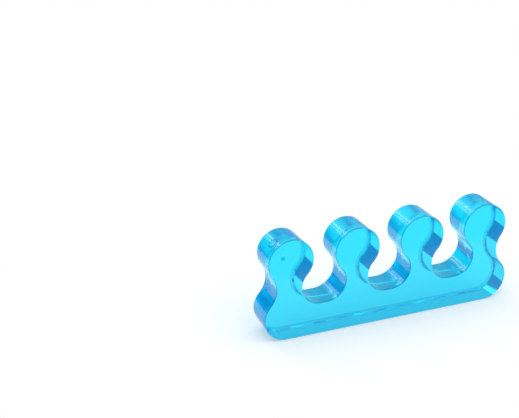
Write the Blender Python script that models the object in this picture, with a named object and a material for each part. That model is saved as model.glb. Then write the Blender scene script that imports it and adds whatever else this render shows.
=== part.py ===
"""A toe separator: one clear gel moulding with four round heads and three toe gaps.

Metres, +Z up. The origin is the middle of the flat base, +X runs along the piece, and the
front face looks along -Y. The outline lies in the XZ plane. It is a closed chain of arcs:
the round lobes at the ends of the base, the hollow waists above them, the heads, and the
toe gaps, whose walls run straight on into the heads. The front face has the whole outline.
From its crisp edge the walls draw in a little, as a moulding's draft, to the back face,
whose edge is well rounded. The base stays flat.
"""

import math

import bmesh
import bpy

MM = 0.001

# Heads and the gaps between them
HEAD_COUNT = 4
HEAD_SPACING = 22.7 * MM
HEAD_RADIUS = 7.6 * MM
NECK_WIDTH = 7.65 * MM
GAP_FLOOR_FLAT = 2.1 * MM
GAP_FLOOR_HEIGHT = 10.8 * MM

# Ends of the base
END_RADIUS = 7.55 * MM
END_OVERHANG = 1.25 * MM
WAIST_RADIUS = 8.1 * MM

# Through the thickness
THICKNESS = 11.5 * MM
FRONT_EDGE_ROUND = 0.25 * MM
BACK_EDGE_ROUND = 1.0 * MM
DRAFT = 0.45 * MM
FULL_DRAFT_HEIGHT = 3.0 * MM

# Fineness of the mesh
ARC_STEP = math.radians(9)
EDGE_SEGMENTS = 3
SAME_POINT = 0.01 * MM

# Finish
GEL_COLOUR = (0.02, 0.56, 0.93, 1.0)
GEL_ROUGHNESS = 0.08
GEL_TRANSMISSION = 0.9
GEL_IOR = 1.43

# Worked out from the sizes above
GAP_RADIUS = (HEAD_SPACING - NECK_WIDTH - GAP_FLOOR_FLAT) / 2
GAP_CENTRE_HEIGHT = GAP_FLOOR_HEIGHT + GAP_RADIUS
HEAD_TO_GAP = HEAD_RADIUS + GAP_RADIUS
HEAD_TO_GAP_ACROSS = (HEAD_SPACING - GAP_FLOOR_FLAT) / 2
HEAD_CENTRE_HEIGHT = GAP_CENTRE_HEIGHT + math.sqrt(HEAD_TO_GAP**2 - HEAD_TO_GAP_ACROSS**2)
LAST_HEAD = HEAD_SPACING * (HEAD_COUNT - 1) / 2
END_CENTRE = LAST_HEAD + END_OVERHANG

# An arc is its centre's x and z, its radius, and the way that the outline turns on it
OUTWARD = 1
INWARD = -1


def waist_centre():
    """Centre of the circle that touches the last head and the end lobe from outside."""
    to_head = HEAD_RADIUS + WAIST_RADIUS
    to_end = END_RADIUS + WAIST_RADIUS
    run = END_CENTRE - LAST_HEAD
    drop = END_RADIUS - HEAD_CENTRE_HEIGHT
    distance = math.hypot(run, drop)
    along = (to_head**2 - to_end**2 + distance**2) / (2 * distance)
    across = math.sqrt(to_head**2 - along**2)
    x = LAST_HEAD + (along * run - across * drop) / distance
    z = HEAD_CENTRE_HEIGHT + (along * drop + across * run) / distance
    return x, z


def outline_arcs():
    """The arcs in order, counter-clockwise seen from the front, from the right end lobe."""
    waist_x, waist_z = waist_centre()
    arcs = [(END_CENTRE, END_RADIUS, END_RADIUS, OUTWARD)]
    arcs.append((waist_x, waist_z, WAIST_RADIUS, INWARD))
    for number in range(HEAD_COUNT):
        head_x = LAST_HEAD - number * HEAD_SPACING
        arcs.append((head_x, HEAD_CENTRE_HEIGHT, HEAD_RADIUS, OUTWARD))
        if number < HEAD_COUNT - 1:
            right_x = head_x - HEAD_TO_GAP_ACROSS
            left_x = right_x - GAP_FLOOR_FLAT
            arcs.append((right_x, GAP_CENTRE_HEIGHT, GAP_RADIUS, INWARD))
            arcs.append((left_x, GAP_CENTRE_HEIGHT, GAP_RADIUS, INWARD))
    arcs.append((-waist_x, waist_z, WAIST_RADIUS, INWARD))
    arcs.append((-END_CENTRE, END_RADIUS, END_RADIUS, OUTWARD))
    return arcs


def heading_between(first, second):
    """Heading of the straight line that leaves the first arc and touches the second."""
    run = second[0] - first[0]
    rise = second[1] - first[1]
    step_out = (second[3] * second[2] - first[3] * first[2]) / math.hypot(run, rise)
    return math.atan2(rise, run) - math.asin(max(-1.0, min(1.0, step_out)))


def outline_points():
    """Points along the outline, each arc from its first heading to its last.

    Each point is its x and z, then the x and z of the outward normal there.
    """
    arcs = outline_arcs()
    points = []
    for number, arc in enumerate(arcs):
        x, z, radius, turn = arc
        start = heading_between(arcs[number - 1], arc)
        end = heading_between(arc, arcs[(number + 1) % len(arcs)])
        sweep = (turn * (end - start)) % math.tau
        steps = max(1, math.ceil(sweep / ARC_STEP))
        for step in range(steps + 1):
            heading = start + turn * sweep * step / steps
            normal_x = math.sin(heading)
            normal_z = -math.cos(heading)
            point = (x + turn * radius * normal_x, z + turn * radius * normal_z)
            if not points or math.dist(point, points[-1][:2]) > SAME_POINT:
                points.append(point + (normal_x, normal_z))
    return points


def edge_profile():
    """Pairs of y and inset, from the front face round its edge to the back edge and face.

    The inset is that of the rounded edges alone, without the draft.
    """
    front = []
    back = []
    for step in range(EDGE_SEGMENTS + 1):
        turn = math.pi / 2 * step / EDGE_SEGMENTS
        towards_wall = 1 - math.cos(turn)
        left_to_wall = 1 - math.sin(turn)
        front.append((THICKNESS / -2 + FRONT_EDGE_ROUND * towards_wall,
                      FRONT_EDGE_ROUND * left_to_wall))
        back.append((THICKNESS / 2 - BACK_EDGE_ROUND * towards_wall,
                     BACK_EDGE_ROUND * left_to_wall))
    return front + back[::-1]


def draft_inset(height, depth):
    """How far the draft draws the wall in at that height and y: not at all at the base."""
    share = min(1.0, height / FULL_DRAFT_HEIGHT)
    smooth_share = share**2 * (3 - 2 * share)
    return DRAFT * smooth_share * (depth / THICKNESS + 0.5)


def gel_material():
    """Clear blue gel."""
    material = bpy.data.materials.new("clear_blue_gel")
    material.use_nodes = True
    shader = material.node_tree.nodes["Principled BSDF"]
    shader.inputs["Base Color"].default_value = GEL_COLOUR
    shader.inputs["Roughness"].default_value = GEL_ROUGHNESS
    shader.inputs["Metallic"].default_value = 0.0
    shader.inputs["IOR"].default_value = GEL_IOR
    shader.inputs["Transmission Weight"].default_value = GEL_TRANSMISSION
    return material


def toe_separator():
    """Rows of points round the outline, from the front face to the back, joined and closed."""
    outline = outline_points()
    shape = bmesh.new()
    rows = []
    for depth, edge_inset in edge_profile():
        row = []
        for x, z, normal_x, normal_z in outline:
            inset = edge_inset + draft_inset(z, depth)
            row.append(shape.verts.new((x - inset * normal_x, depth, z - inset * normal_z)))
        rows.append(row)
    for near, far in zip(rows, rows[1:]):
        for number in range(len(outline)):
            shape.faces.new((near[number - 1], near[number], far[number], far[number - 1]))
    shape.faces.new(rows[0])
    shape.faces.new(rows[-1])
    bmesh.ops.recalc_face_normals(shape, faces=shape.faces[:])
    mesh = bpy.data.meshes.new("toe_separator")
    shape.to_mesh(mesh)
    shape.free()
    mesh.shade_smooth()
    mesh.materials.append(gel_material())
    piece = bpy.data.objects.new("toe_separator", mesh)
    bpy.context.scene.collection.objects.link(piece)
    return piece


for leftover in list(bpy.data.objects):
    bpy.data.objects.remove(leftover)
toe_separator()
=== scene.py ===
"""A clear blue gel toe separator on a white table, dressed as a Blender add-on.

Everything is in metres, in the frame of the part: +X along the length, the front face
towards -Y, +Z up, and the origin in the middle of the base.
"""

import math

import bpy
import numpy as np
from bpy.props import FloatProperty, FloatVectorProperty, IntProperty, PointerProperty
from mathutils import Matrix, Vector


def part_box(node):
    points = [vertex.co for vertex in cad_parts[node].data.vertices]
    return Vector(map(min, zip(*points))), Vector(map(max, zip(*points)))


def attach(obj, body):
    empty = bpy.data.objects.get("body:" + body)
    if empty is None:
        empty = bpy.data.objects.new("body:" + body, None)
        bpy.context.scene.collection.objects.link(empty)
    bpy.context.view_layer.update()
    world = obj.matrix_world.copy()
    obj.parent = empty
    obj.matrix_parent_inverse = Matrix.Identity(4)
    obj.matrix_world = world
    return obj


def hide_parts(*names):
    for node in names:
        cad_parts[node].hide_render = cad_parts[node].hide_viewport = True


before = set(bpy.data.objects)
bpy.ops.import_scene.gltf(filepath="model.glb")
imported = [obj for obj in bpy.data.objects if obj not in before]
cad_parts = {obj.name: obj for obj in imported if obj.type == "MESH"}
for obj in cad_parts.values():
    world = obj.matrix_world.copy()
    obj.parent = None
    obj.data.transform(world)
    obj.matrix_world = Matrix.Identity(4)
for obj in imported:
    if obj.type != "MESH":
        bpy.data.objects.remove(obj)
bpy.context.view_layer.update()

bl_info = {
    "name": "Toe Separator",
    "version": (1, 0, 0),
    "blender": (4, 5, 0),
    "location": "3D View > Sidebar > Toe Separator",
    "description": "Builds a clear gel toe separator and the white table that it stands on",
    "category": "Object",
}

NODE = "toe_separator"
BODY = "root"
LOW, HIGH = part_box(NODE)
LENGTH = HIGH[0] - LOW[0]
THICKNESS = HIGH[1] - LOW[1]
HEIGHT = HIGH[2] - LOW[2]
HEAD_COUNT = 4

# The left head's place in the list of arcs, and the ways that the outline turns on an arc
LEFT_HEAD_ARC = 3 * HEAD_COUNT - 1
OUTWARD = 1
INWARD = -1

# Width of the flat rim on each face, as a share of the back edge's radius
FLAT_RIM = 1.25

# Where the skin's colours and its painted shade change: a hair off a face, and as shares of the scar's
# radius
ON_FACE = 0.00001
SCAR_CORE = 0.6
SHADE_RING_END = 1.3

# The table, in metres
FLOOR_SIZE = 0.2
FLOOR_IN_FRONT = 0.045
FLOOR_DROP = 0.0001
FLOOR_ALBEDO = 0.9

# Roughness of the table and the cards
MATT = 0.9

# Height of a direction where the light from above starts, and where it is full
OVERHEAD_START = 0.7
OVERHEAD_FULL = 1.0

# The cards stand behind the lamps: their distance and half their widths, in metres
CARD_DISTANCE = 1.2
SIDE_CARD_HALF = 0.65
BACK_CARD_HALF = 0.7
FRONT_CARD_HALF = 0.75

# The lamps: angles in degrees, distance, widths and heights in metres
LAMP_DISTANCE = 0.9
KEY_AZIMUTH = 150
KEY_ELEVATION = 40
KEY_WIDTH = 0.8
KEY_HEIGHT = 0.8
STRIP_AZIMUTH = -16
STRIP_ELEVATION = 30
STRIP_WIDTH = 0.06
STRIP_HEIGHT = 0.5
GLINT_AZIMUTH = -25
GLINT_ELEVATION = 27
GLINT_WIDTH = 0.08
GLINT_HEIGHT = 0.2

# How often light may bounce, the most that one bounce adds, and the camera's near limit
LIGHT_BOUNCES = 48
GLOSSY_BOUNCES = 16
BOUNCE_CLAMP = 1.5
CAMERA_NEAR = 0.01


def length(name, description, default):
    """A size in metres that a user can change."""
    return FloatProperty(name=name, description=description, default=default, precision=5,
                         unit="LENGTH", min=0.0)


class GelBodySizes(bpy.types.PropertyGroup):
    """Sizes of the moulding's outline and edges."""

    head_spacing: length("Head Spacing", "From one head's centre to the next", 0.0227)
    head_radius: length("Head Radius", "Radius of each round head", 0.0076)
    neck_width: length("Neck Width", "Narrowest place under a head", 0.00765)
    gap_floor_flat: length("Gap Floor Flat", "Straight stretch at the bottom of a toe gap", 0.0021)
    gap_floor_height: length("Gap Floor Height", "Gel under a toe gap", 0.0108)
    end_radius: length("End Radius", "Radius of the round lobe at each end of the base", 0.00755)
    waist_radius: length("Waist Radius", "Radius of the hollow above each end lobe", 0.0081)
    front_edge_round: length("Front Edge Round", "Radius of the crisp front edge", 0.00025)
    back_edge_round: length("Back Edge Round", "Radius of the round along the back edge", 0.001)
    draft: length("Draft", "How far the walls draw in from the front face to the back", 0.00045)
    full_draft_height: length("Full Draft Height", "Above this the walls have all their draft",
                              0.003)
    column_step: length("Column Step", "Distance between mesh columns along the outline", 0.0003)
    fine_step: length("Fine Step", "Distance between mesh columns on the head with the gate mark",
                      0.00014)
    round_steps: IntProperty(name="Round Steps", description="Mesh steps across an edge round",
                             default=10, min=2)
    wall_steps: IntProperty(name="Wall Steps", description="Mesh steps across the walls",
                            default=36, min=1)


class GateMark(bpy.types.PropertyGroup):
    """The small raised scar on the wall of the left head, where the moulding was filled."""

    angle: FloatProperty(name="Angle", description="Place round the head, clockwise from its top",
                         unit="ROTATION", default=math.radians(-38.5))
    depth: FloatProperty(name="Depth", description="Place through the thickness, as a y",
                         unit="LENGTH", precision=5, default=-0.0018)
    radius: length("Radius", "How far the scar reaches from its middle", 0.0016)
    height: length("Height", "How far the scar stands out", 0.0009)
    fine_rows: IntProperty(name="Fine Rows", description="Mesh rows across the scar", default=21,
                           min=3)
    frost: FloatProperty(name="Frost", description="Roughness in the middle of the scar",
                         subtype="FACTOR", default=0.65, min=0.0, max=1.0)
    tint: FloatVectorProperty(name="Tint", description="Light that the scar lets through",
                              subtype="COLOR", size=4, min=0.0, max=1.0,
                              default=(1.0, 1.0, 1.0, 1.0))
    spot_x: FloatProperty(name="Spot X", description="Place along the length of the darker spot",
                          unit="LENGTH", precision=5, default=-0.03694)
    spot_z: FloatProperty(name="Spot Z", description="Height of the darker spot on the face",
                          unit="LENGTH", precision=5, default=0.0288)
    spot_radius: length("Spot Radius", "Radius of the darker spot", 0.0009)


class GelFinish(bpy.types.PropertyGroup):
    """Colour and surface of the gel, and the painted shade along its edges and round its gate mark."""

    surface_tint: FloatVectorProperty(
        name="Surface Tint", description="Light that the gel's skin lets through",
        subtype="COLOR", size=4, min=0.0, max=1.0, default=(0.9, 0.84, 0.98, 1.0))
    # The shade tint is painted shade: it darkens the skin along both edges and in a ring round the gate
    # mark, and it also colours the darker spot on the front face.
    shade_and_spot_tint: FloatVectorProperty(
        name="Edge Tint", description="Light that the skin lets through where it is darker",
        subtype="COLOR", size=4, min=0.0, max=1.0, default=(0.1, 0.35, 0.5, 1.0))
    # Widths of the two dark lines of painted shade along the front and back edges, and how dark the back
    # one is.
    front_shade_line: length("Edge Line", "How far the darker line runs back from the front edge", 0.0009)
    back_shade_line: length("Back Line", "How far the darker line runs forward from the back edge",
                      0.0009)
    back_shade_strength: FloatProperty(
        name="Back Line Strength", description="How dark the line along the back edge is",
        subtype="FACTOR", default=0.6, min=0.0, max=1.0)
    absorption_colour: FloatVectorProperty(
        name="Absorption Colour", description="Light that the gel lets through", subtype="COLOR",
        size=4, min=0.0, max=1.0, default=(0.27, 0.976, 0.998, 1.0))
    absorption_density: FloatProperty(
        name="Absorption Density", description="How fast the gel takes up light, per metre",
        default=350.0, min=0.0)
    refraction_index: FloatProperty(
        name="Index of Refraction", description="How far the gel bends light", default=1.43,
        min=1.0)
    roughness: FloatProperty(
        name="Roughness", description="Roughness of the moulded surface", subtype="FACTOR",
        default=0.12, min=0.0, max=1.0)


class StageLook(bpy.types.PropertyGroup):
    """Camera, table, cards and light."""

    camera_azimuth: FloatProperty(
        name="Camera Azimuth", description="Angle that the camera looks round to the right",
        unit="ROTATION", default=math.radians(22.2))
    camera_elevation: FloatProperty(
        name="Camera Elevation", description="Angle that the camera looks down",
        unit="ROTATION", default=math.radians(25.09))
    camera_distance: length("Camera Distance", "From the camera to the part's origin", 0.48939)
    camera_side: FloatProperty(
        name="Camera Side", description="How far the camera stands to the right of the origin",
        unit="LENGTH", precision=5, default=-0.03923)
    camera_lift: FloatProperty(
        name="Camera Lift", description="How far the camera stands above the origin, in its view",
        unit="LENGTH", precision=5, default=0.0332)
    lens: FloatProperty(name="Lens", description="Focal length in millimetres", default=104.05,
                        min=1.0)
    key_power: FloatProperty(name="Key Power", description="Power of the large key light",
                             unit="POWER", default=1.0, min=0.0)
    strip_power: FloatProperty(name="Strip Power", description="Power of the narrow strip light",
                               unit="POWER", default=0.4, min=0.0)
    glint_power: FloatProperty(name="Glint Power", description="Power of the lamp seen through gel",
                               unit="POWER", default=0.5, min=0.0)
    dome_strength: FloatProperty(name="Dome Strength", description="Soft light from all round",
                                 default=0.95, min=0.0)
    overhead_strength: FloatProperty(name="Overhead Strength",
                                     description="Soft light from straight above",
                                     default=1.15, min=0.0)
    side_card_azimuth: FloatProperty(
        name="Side Card Azimuth", description="Where the card behind on the left stands",
        unit="ROTATION", default=math.radians(-35))
    side_card_elevation: FloatProperty(
        name="Side Card Elevation", description="How high the side card is centred",
        unit="ROTATION", default=math.radians(5))
    # The side card is painted shade: its dark blue stands for the dark side of the studio and for the
    # gel's own blue shadow on the table, as seen through the gel.
    side_card_shade_colour: FloatVectorProperty(
        name="Side Card Colour", description="Colour of the side card", subtype="COLOR", size=4,
        min=0.0, max=1.0, default=(0.04, 0.34, 0.66, 1.0))
    back_card_azimuth: FloatProperty(
        name="Back Card Azimuth", description="Where the card behind hangs", unit="ROTATION",
        default=math.radians(30))
    back_card_elevation: FloatProperty(
        name="Back Card Elevation", description="How high the back card is centred",
        unit="ROTATION", default=math.radians(25))
    back_card_colour: FloatVectorProperty(
        name="Back Card Colour", description="Colour of the back card", subtype="COLOR", size=4,
        min=0.0, max=1.0, default=(0.5, 0.78, 0.88, 1.0))
    front_card_azimuth: FloatProperty(
        name="Front Card Azimuth", description="Where the card in front stands",
        unit="ROTATION", default=math.radians(150))
    front_card_elevation: FloatProperty(
        name="Front Card Elevation", description="How high the front card is centred",
        unit="ROTATION", default=math.radians(-15))
    front_card_colour: FloatVectorProperty(
        name="Front Card Colour", description="Colour of the front card", subtype="COLOR",
        size=4, min=0.0, max=1.0, default=(0.35, 0.55, 0.8, 1.0))
    table_lift: FloatProperty(
        name="Table Lift", description="Glow that lifts the table to white where it shows",
        default=0.15, min=0.0)


def waist_centre(sizes, head_x, head_z, end_x):
    """Centre of the circle that touches the last head and the end lobe from outside.

    It is where two circles round those centres cross, each wider by the waist's radius, on
    the outer side.
    """
    to_head = sizes.head_radius + sizes.waist_radius
    to_end = sizes.end_radius + sizes.waist_radius
    run = end_x - head_x
    drop = sizes.end_radius - head_z
    distance = math.hypot(run, drop)
    along = (to_head**2 - to_end**2 + distance**2) / (2 * distance)
    across = math.sqrt(to_head**2 - along**2)
    x = head_x + (along * run - across * drop) / distance
    z = head_z + (along * drop + across * run) / distance
    return x, z


def outline_arcs(sizes):
    """The outline's arcs from the right end lobe on, counter-clockwise seen from the front.

    Each is its centre's x and z, its radius and the way that the outline turns on it.
    """
    head_z = HEIGHT - sizes.head_radius
    last_head = sizes.head_spacing * (HEAD_COUNT - 1) / 2
    end_x = LENGTH / 2 - sizes.end_radius
    gap_radius = (sizes.head_spacing - sizes.neck_width - sizes.gap_floor_flat) / 2
    gap_z = sizes.gap_floor_height + gap_radius
    waist_x, waist_z = waist_centre(sizes, last_head, head_z, end_x)
    arcs = [(end_x, sizes.end_radius, sizes.end_radius, OUTWARD)]
    arcs.append((waist_x, waist_z, sizes.waist_radius, INWARD))
    for number in range(HEAD_COUNT):
        head_x = last_head - number * sizes.head_spacing
        arcs.append((head_x, head_z, sizes.head_radius, OUTWARD))
        if number < HEAD_COUNT - 1:
            right_x = head_x - (sizes.head_spacing - sizes.gap_floor_flat) / 2
            arcs.append((right_x, gap_z, gap_radius, INWARD))
            arcs.append((right_x - sizes.gap_floor_flat, gap_z, gap_radius, INWARD))
    arcs.append((-waist_x, waist_z, sizes.waist_radius, INWARD))
    arcs.append((-end_x, sizes.end_radius, sizes.end_radius, OUTWARD))
    return arcs


def heading_between(first, second):
    """Heading of the straight line that leaves the first arc and touches the second."""
    run = second[0] - first[0]
    rise = second[1] - first[1]
    step_out = (second[3] * second[2] - first[3] * first[2]) / math.hypot(run, rise)
    return math.atan2(rise, run) - math.asin(max(-1.0, min(1.0, step_out)))


def outline(sizes):
    """Points along the closed outline and their outward normals, both as (count, 2) arrays.

    On an arc the heading h turns evenly, the normal is (sin h, -cos h), and the point is the
    centre plus the signed radius times the normal. Between two arcs that don't touch runs a
    straight line with the heading of its ends.
    """
    arcs = outline_arcs(sizes)
    points = []
    normals = []
    for number, arc in enumerate(arcs):
        x, z, radius, turn = arc
        following = arcs[(number + 1) % len(arcs)]
        start = heading_between(arcs[number - 1], arc)
        end = heading_between(arc, following)
        sweep = (turn * (end - start)) % math.tau
        step = sizes.fine_step if number == LEFT_HEAD_ARC else sizes.column_step
        count = max(2, math.ceil(sweep * radius / step))
        heading = start + turn * sweep * (np.arange(count) + 0.5) / count
        normal = np.stack([np.sin(heading), -np.cos(heading)], axis=1)
        points.append(np.array([x, z]) + turn * radius * normal)
        normals.append(normal)
        leave = np.array([math.sin(end), -math.cos(end)])
        line_start = np.array([x, z]) + turn * radius * leave
        line_end = np.array(following[:2]) + following[3] * following[2] * leave
        line_count = int(math.dist(line_start, line_end) / sizes.column_step)
        share = ((np.arange(line_count) + 0.5) / max(1, line_count))[:, None]
        points.append(line_start * (1 - share) + line_end * share)
        normals.append(np.repeat(leave[None, :], line_count, axis=0))
    return np.concatenate(points), np.concatenate(normals)


def edge_profile(sizes, mark):
    """Inset from the outline and y, from the front face round its edge to the back face.

    A quarter circle at each edge, a straight wall between them, and a narrow flat rim on each
    face that keeps the face's shading flat. The wall's rows lie closer across the gate mark.
    The draft isn't in it.
    """
    turn = np.linspace(0.0, math.pi / 2, sizes.round_steps + 1)
    towards_wall = 1 - np.cos(turn)
    left_to_wall = 1 - np.sin(turn)
    front = -THICKNESS / 2 + sizes.front_edge_round * towards_wall
    back = THICKNESS / 2 - sizes.back_edge_round * towards_wall
    even = np.linspace(front[-1], back[-1], sizes.wall_steps + 1)[1:-1]
    fine = np.linspace(mark.depth - mark.radius, mark.depth + mark.radius, mark.fine_rows)
    wall = np.concatenate([even[even < fine[0]], fine, even[even > fine[-1]]])
    rim = sizes.back_edge_round * FLAT_RIM
    insets = np.concatenate([[rim], sizes.front_edge_round * left_to_wall, np.zeros(len(wall)),
                             sizes.back_edge_round * left_to_wall[::-1], [rim]])
    depths = np.concatenate([[front[0]], front, wall, back[::-1], [back[0]]])
    return insets, depths


def smooth(share):
    """Smooth step of a share that is held between 0 and 1."""
    held = np.clip(share, 0.0, 1.0)
    return held**2 * (3 - 2 * held)


def draft_insets(sizes, points, depths):
    """How far the draft draws the walls in, as an array (rows, columns).

    It grows evenly in y from the front face to the back, and by a smooth step in z from
    nothing on the flat base.
    """
    draft = sizes.draft * smooth(points[:, 1] / sizes.full_draft_height)
    return draft[None, :] * (depths[:, None] / THICKNESS + 0.5)


def surface_mesh(name, rows, closed_ends):
    """A mesh from rows of points round a closed loop, as an array (rows, columns, 3)."""
    row_count, column_count, _ = rows.shape
    column = np.arange(column_count)
    following = (column + 1) % column_count
    starts = (np.arange(row_count - 1) * column_count)[:, None]
    quads = np.stack([starts + column, starts + column + column_count,
                      starts + following + column_count, starts + following], axis=2)
    faces = quads.reshape(-1, 4).tolist()
    if closed_ends:
        faces.append(column.tolist())
        faces.append((column[::-1] + (row_count - 1) * column_count).tolist())
    mesh = bpy.data.meshes.new(name)
    mesh.from_pydata(rows.reshape(-1, 3).tolist(), [], faces)
    mesh.validate()
    mesh.shade_smooth()
    return mesh


def add_object(name, data):
    """A new object at the origin with that data."""
    piece = bpy.data.objects.new(name, data)
    bpy.context.scene.collection.objects.link(piece)
    return piece


def gate_centre(sizes, mark):
    """The middle of the gate mark: x, y and z of the point on the left head at its angle."""
    head_x = -sizes.head_spacing * (HEAD_COUNT - 1) / 2
    head_z = HEIGHT - sizes.head_radius
    return (head_x + sizes.head_radius * math.sin(mark.angle), mark.depth,
            head_z + sizes.head_radius * math.cos(mark.angle))


def gate_heights(sizes, mark, points, depths):
    """How far the gate mark raises the wall, as an array (rows, columns).

    The height times a smooth step of the share of the radius that is left at that distance.
    """
    x, y, z = gate_centre(sizes, mark)
    along = (points[None, :, 0] - x)**2 + (points[None, :, 1] - z)**2
    distance = np.sqrt(along + (depths[:, None] - y)**2)
    return mark.height * smooth(1 - distance / mark.radius)


def gel_body_rows(sizes, mark):
    """The moulding's surface: each outline point moved in along its normal by the inset."""
    points, normals = outline(sizes)
    insets, depths = edge_profile(sizes, mark)
    insets = insets[:, None] + draft_insets(sizes, points, depths)
    insets -= gate_heights(sizes, mark, points, depths)
    moved = points[None, :, :] - insets[:, :, None] * normals[None, :, :]
    rows = np.empty((len(depths), len(points), 3))
    rows[:, :, 0] = moved[:, :, 0]
    rows[:, :, 1] = depths[:, None]
    rows[:, :, 2] = moved[:, :, 1]
    return rows


def multiply(tree, first, second):
    """Output of a node that multiplies two values."""
    product = tree.nodes.new("ShaderNodeMath")
    product.operation = "MULTIPLY"
    tree.links.new(first, product.inputs[0])
    tree.links.new(second, product.inputs[1])
    return product.outputs[0]


def larger_of(tree, first, second):
    """Output of a node that gives the larger of two values."""
    larger = tree.nodes.new("ShaderNodeMath")
    larger.operation = "MAXIMUM"
    tree.links.new(first, larger.inputs[0])
    tree.links.new(second, larger.inputs[1])
    return larger.outputs[0]


def distance_from(tree, coordinates, centre):
    """Output of a node that gives the distance from that point of the object."""
    distance = tree.nodes.new("ShaderNodeVectorMath")
    distance.operation = "DISTANCE"
    distance.inputs[1].default_value = centre
    tree.links.new(coordinates.outputs["Object"], distance.inputs[0])
    return distance.outputs["Value"]


def gel_material(finish, mark, mark_centre):
    """Clear gel: a smooth surface that bends light, and a body that takes up red.

    Along the front edge, apart from the front face itself, the skin carries a dark line of painted
    shade, and, less strongly, so does the back edge. Both lines fade by a smooth step in y. Towards the
    middle of the gate mark the skin is frosted and pale, by a smooth step of the distance, and round it
    runs a darker ring of painted shade. A small darker spot lies on the front face.
    """
    material = bpy.data.materials.new("clear_blue_gel")
    material.use_nodes = True
    tree = material.node_tree
    shader = tree.nodes["Principled BSDF"]
    coordinates = tree.nodes.new("ShaderNodeTexCoord")
    split = tree.nodes.new("ShaderNodeSeparateXYZ")
    tree.links.new(coordinates.outputs["Object"], split.inputs["Vector"])
    front = -THICKNESS / 2
    # Painted shade: a dark line along the front edge, off the front face itself.
    fade = smooth_step(tree, split.outputs["Y"], front + finish.front_shade_line / 2,
                       front + finish.front_shade_line, 1.0, 0.0)
    off_face = smooth_step(tree, split.outputs["Y"], front + ON_FACE, front + 2 * ON_FACE, 0.0, 1.0)
    front_shade = multiply(tree, fade, off_face)
    back = -front
    # Painted shade, fainter: a dark line along the back edge.
    rise = smooth_step(tree, split.outputs["Y"], back - finish.back_shade_line,
                       back - finish.back_shade_line / 2, 0.0, finish.back_shade_strength)
    off_back = smooth_step(tree, split.outputs["Y"], back - 2 * ON_FACE, back - ON_FACE, 1.0, 0.0)
    back_shade_line = multiply(tree, rise, off_back)
    away = distance_from(tree, coordinates, mark_centre)
    # Painted shade: a darker ring round the gate mark's frosted core.
    ring_start = smooth_step(tree, away, mark.radius * SCAR_CORE, mark.radius, 0.0, 1.0)
    shade_ring_fade = smooth_step(tree, away, mark.radius, mark.radius * SHADE_RING_END, 1.0, 0.0)
    shade_ring = multiply(tree, ring_start, shade_ring_fade)
    spot_centre = (mark.spot_x, front, mark.spot_z)
    spot = smooth_step(tree, distance_from(tree, coordinates, spot_centre),
                       mark.spot_radius * SCAR_CORE, mark.spot_radius, 1.0, 0.0)
    dark = front_shade
    for share in (back_shade_line, shade_ring, spot):
        dark = larger_of(tree, dark, share)
    # The skin's colour goes towards the shade tint by the painted shade of the edge lines and the ring,
    # and by the darker spot.
    skin = tree.nodes.new("ShaderNodeMix")
    skin.data_type = "RGBA"
    skin.inputs["A"].default_value = finish.surface_tint
    skin.inputs["B"].default_value = finish.shade_and_spot_tint
    tree.links.new(dark, skin.inputs["Factor"])
    scar = tree.nodes.new("ShaderNodeMix")
    scar.data_type = "RGBA"
    scar.inputs["A"].default_value = mark.tint
    tree.links.new(ring_start, scar.inputs["Factor"])
    tree.links.new(skin.outputs["Result"], scar.inputs["B"])
    tree.links.new(scar.outputs["Result"], shader.inputs["Base Color"])
    shader.inputs["IOR"].default_value = finish.refraction_index
    rough = smooth_step(tree, away, mark.radius * SCAR_CORE, mark.radius, mark.frost,
                        finish.roughness)
    tree.links.new(rough, shader.inputs["Roughness"])
    shader.inputs["Transmission Weight"].default_value = 1.0
    absorption = tree.nodes.new("ShaderNodeVolumeAbsorption")
    absorption.inputs["Color"].default_value = finish.absorption_colour
    absorption.inputs["Density"].default_value = finish.absorption_density
    output = tree.nodes["Material Output"]
    tree.links.new(absorption.outputs["Volume"], output.inputs["Volume"])
    return material


class TOESEPARATOR_OT_gel_body(bpy.types.Operator):
    """Build the gel moulding in place of its plain solid"""

    bl_idname = "toeseparator.gel_body"
    bl_label = "Gel Body"

    def execute(self, context):
        scene = context.scene
        sizes = scene.gel_body_sizes
        mark = scene.gate_mark
        mesh = surface_mesh("gel_body", gel_body_rows(sizes, mark), closed_ends=True)
        mesh.materials.append(gel_material(scene.gel_finish, mark, gate_centre(sizes, mark)))
        piece = add_object("gel_body", mesh)
        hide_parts(NODE)
        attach(piece, BODY)
        return {"FINISHED"}


def shown_ray(tree):
    """Output that is 1 for a ray from the camera, a mirror or clear gel, and 0 for other light."""
    path = tree.nodes.new("ShaderNodeLightPath")
    seen_or_mirrored = larger_of(tree, path.outputs["Is Camera Ray"], path.outputs["Is Glossy Ray"])
    return larger_of(tree, seen_or_mirrored, path.outputs["Is Transmission Ray"])


def matt_material(name, colour):
    """A plain matt colour without gloss."""
    material = bpy.data.materials.new(name)
    material.use_nodes = True
    shader = material.node_tree.nodes["Principled BSDF"]
    shader.inputs["Base Color"].default_value = colour
    shader.inputs["Roughness"].default_value = MATT
    shader.inputs["Specular IOR Level"].default_value = 0.0
    return material


def floor_material(look):
    """White table: matt, and lifted to white where it is seen, mirrored or looked through."""
    material = matt_material("white_table", (FLOOR_ALBEDO, FLOOR_ALBEDO, FLOOR_ALBEDO, 1.0))
    tree = material.node_tree
    shader = tree.nodes["Principled BSDF"]
    lift = tree.nodes.new("ShaderNodeMath")
    lift.operation = "MULTIPLY"
    lift.inputs[1].default_value = look.table_lift
    tree.links.new(shown_ray(tree), lift.inputs[0])
    shader.inputs["Emission Color"].default_value = (1.0, 1.0, 1.0, 1.0)
    tree.links.new(lift.outputs[0], shader.inputs["Emission Strength"])
    return material


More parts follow.
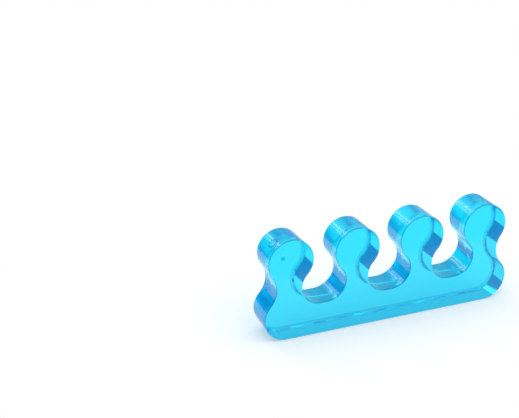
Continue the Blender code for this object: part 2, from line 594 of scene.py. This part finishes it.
def build_floor(look):
    """A flat white table just under the base, which ends a little way in front of it."""
    half = FLOOR_SIZE / 2
    corners = [(-half, -FLOOR_IN_FRONT, -FLOOR_DROP), (half, -FLOOR_IN_FRONT, -FLOOR_DROP),
               (half, half, -FLOOR_DROP), (-half, half, -FLOOR_DROP)]
    mesh = bpy.data.meshes.new("table")
    mesh.from_pydata(corners, [], [(0, 1, 2, 3)])
    mesh.materials.append(floor_material(look))
    add_object("table", mesh)


def build_card(name, azimuth, elevation, half_width, colour):
    """A square matt card that faces the part from that direction, in plain sight.

    Its corners lie half its width to each side, and above and below, of the point that is the
    card distance away from the origin in that direction.
    """
    direction = direction_of(azimuth, elevation)
    right = Vector((math.cos(azimuth), -math.sin(azimuth), 0.0))
    up = right.cross(direction)
    corners = []
    for across, along in ((-1, -1), (1, -1), (1, 1), (-1, 1)):
        corners.append(direction * CARD_DISTANCE + (right * across + up * along) * half_width)
    mesh = bpy.data.meshes.new(name)
    mesh.from_pydata(corners, [], [(0, 1, 2, 3)])
    mesh.materials.append(matt_material(name, colour))
    add_object(name, mesh)


def build_world(look):
    """White where it is seen, mirrored or looked through, and soft light from all round otherwise.

    The soft light is even from the horizon up and rises by a smooth step to the overhead light.
    """
    world = bpy.data.worlds.new("studio")
    bpy.context.scene.world = world
    world.use_nodes = True
    tree = world.node_tree
    light = tree.nodes["Background"]
    light.inputs["Color"].default_value = (1.0, 1.0, 1.0, 1.0)
    coordinates = tree.nodes.new("ShaderNodeTexCoord")
    split = tree.nodes.new("ShaderNodeSeparateXYZ")
    tree.links.new(coordinates.outputs["Generated"], split.inputs["Vector"])
    dome = smooth_step(tree, split.outputs["Z"], OVERHEAD_START, OVERHEAD_FULL,
                       look.dome_strength, look.overhead_strength)
    tree.links.new(larger_of(tree, dome, shown_ray(tree)), light.inputs["Strength"])


def smooth_step(tree, value, start, full, before, after):
    """Output of a node that goes smoothly from before to after while value passes from start to full."""
    ramp = tree.nodes.new("ShaderNodeMapRange")
    ramp.interpolation_type = "SMOOTHSTEP"
    ramp.inputs["From Min"].default_value = start
    ramp.inputs["From Max"].default_value = full
    ramp.inputs["To Min"].default_value = before
    ramp.inputs["To Max"].default_value = after
    tree.links.new(value, ramp.inputs["Value"])
    return ramp.outputs["Result"]


def direction_of(azimuth, elevation):
    """Unit vector that way: azimuth in radians from +Y towards +X, elevation above the table."""
    return Vector((math.sin(azimuth) * math.cos(elevation),
                   math.cos(azimuth) * math.cos(elevation), math.sin(elevation)))


def area_light(name, azimuth, elevation, width, height, power):
    """A lamp of that size, aimed at the middle of the part from that direction in degrees."""
    data = bpy.data.lights.new(name, "AREA")
    data.shape = "RECTANGLE"
    data.size = width
    data.size_y = height
    data.energy = power
    lamp = add_object(name, data)
    direction = direction_of(math.radians(azimuth), math.radians(elevation))
    target = Vector((0.0, 0.0, HEIGHT / 2))
    lamp.location = target + direction * LAMP_DISTANCE
    lamp.rotation_euler = direction.to_track_quat("Z", "Y").to_euler()
    lamp.visible_camera = False
    return lamp


def build_camera(look):
    """The camera at the photo's angle: distance, side and lift are measured from the origin."""
    azimuth = look.camera_azimuth
    elevation = look.camera_elevation
    forward = direction_of(azimuth, -elevation)
    right = Vector((math.cos(azimuth), -math.sin(azimuth), 0.0))
    up = right.cross(forward)
    place = right * look.camera_side + up * look.camera_lift - forward * look.camera_distance
    data = bpy.data.cameras.new("camera")
    data.lens = look.lens
    data.clip_start = CAMERA_NEAR
    camera = add_object("camera", data)
    turned = Matrix((right, up, -forward)).transposed().to_4x4()
    camera.matrix_world = Matrix.Translation(place) @ turned
    bpy.context.scene.camera = camera


class TOESEPARATOR_OT_stage(bpy.types.Operator):
    """Build the white table, the cards, the lights and the camera"""

    bl_idname = "toeseparator.stage"
    bl_label = "Stage"

    def execute(self, context):
        look = context.scene.stage_look
        build_floor(look)
        build_world(look)
        # The side card is painted shade, dark and blue.
        build_card("side_card", look.side_card_azimuth, look.side_card_elevation,
                   SIDE_CARD_HALF, look.side_card_shade_colour)
        build_card("back_card", look.back_card_azimuth, look.back_card_elevation,
                   BACK_CARD_HALF, look.back_card_colour)
        build_card("front_card", look.front_card_azimuth, look.front_card_elevation,
                   FRONT_CARD_HALF, look.front_card_colour)
        area_light("key", KEY_AZIMUTH, KEY_ELEVATION, KEY_WIDTH, KEY_HEIGHT, look.key_power)
        area_light("strip", STRIP_AZIMUTH, STRIP_ELEVATION, STRIP_WIDTH, STRIP_HEIGHT,
                   look.strip_power)
        glint = area_light("glint", GLINT_AZIMUTH, GLINT_ELEVATION, GLINT_WIDTH, GLINT_HEIGHT,
                           look.glint_power)
        glint.visible_glossy = False
        build_camera(look)
        context.scene.view_settings.view_transform = "Standard"
        context.scene.cycles.max_bounces = LIGHT_BOUNCES
        context.scene.cycles.transmission_bounces = LIGHT_BOUNCES
        context.scene.cycles.glossy_bounces = GLOSSY_BOUNCES
        context.scene.cycles.sample_clamp_indirect = BOUNCE_CLAMP
        return {"FINISHED"}


class TOESEPARATOR_PT_panel(bpy.types.Panel):
    """Buttons and sizes of the toe separator"""

    bl_idname = "TOESEPARATOR_PT_panel"
    bl_label = "Toe Separator"
    bl_space_type = "VIEW_3D"
    bl_region_type = "UI"
    bl_category = "Toe Separator"

    def draw(self, context):
        scene = context.scene
        body_groups = (scene.gel_body_sizes, scene.gate_mark, scene.gel_finish)
        for operator, groups in ((TOESEPARATOR_OT_gel_body, body_groups),
                                 (TOESEPARATOR_OT_stage, (scene.stage_look,))):
            box = self.layout.box()
            box.operator(operator.bl_idname)
            for group in groups:
                for name in group.__annotations__:
                    box.prop(group, name)


CLASSES = (GelBodySizes, GateMark, GelFinish, StageLook, TOESEPARATOR_OT_gel_body,
           TOESEPARATOR_OT_stage, TOESEPARATOR_PT_panel)


def register():
    """Register the classes and hang the property groups on the scene."""
    for item in CLASSES:
        bpy.utils.register_class(item)
    bpy.types.Scene.gel_body_sizes = PointerProperty(type=GelBodySizes)
    bpy.types.Scene.gate_mark = PointerProperty(type=GateMark)
    bpy.types.Scene.gel_finish = PointerProperty(type=GelFinish)
    bpy.types.Scene.stage_look = PointerProperty(type=StageLook)


def unregister():
    """Take the property groups and the classes away again."""
    del bpy.types.Scene.stage_look
    del bpy.types.Scene.gel_finish
    del bpy.types.Scene.gate_mark
    del bpy.types.Scene.gel_body_sizes
    for item in reversed(CLASSES):
        bpy.utils.unregister_class(item)


def main():
    """Build everything through the operators."""
    register()
    bpy.ops.toeseparator.gel_body()
    bpy.ops.toeseparator.stage()


if __name__ == "__main__":
    main()
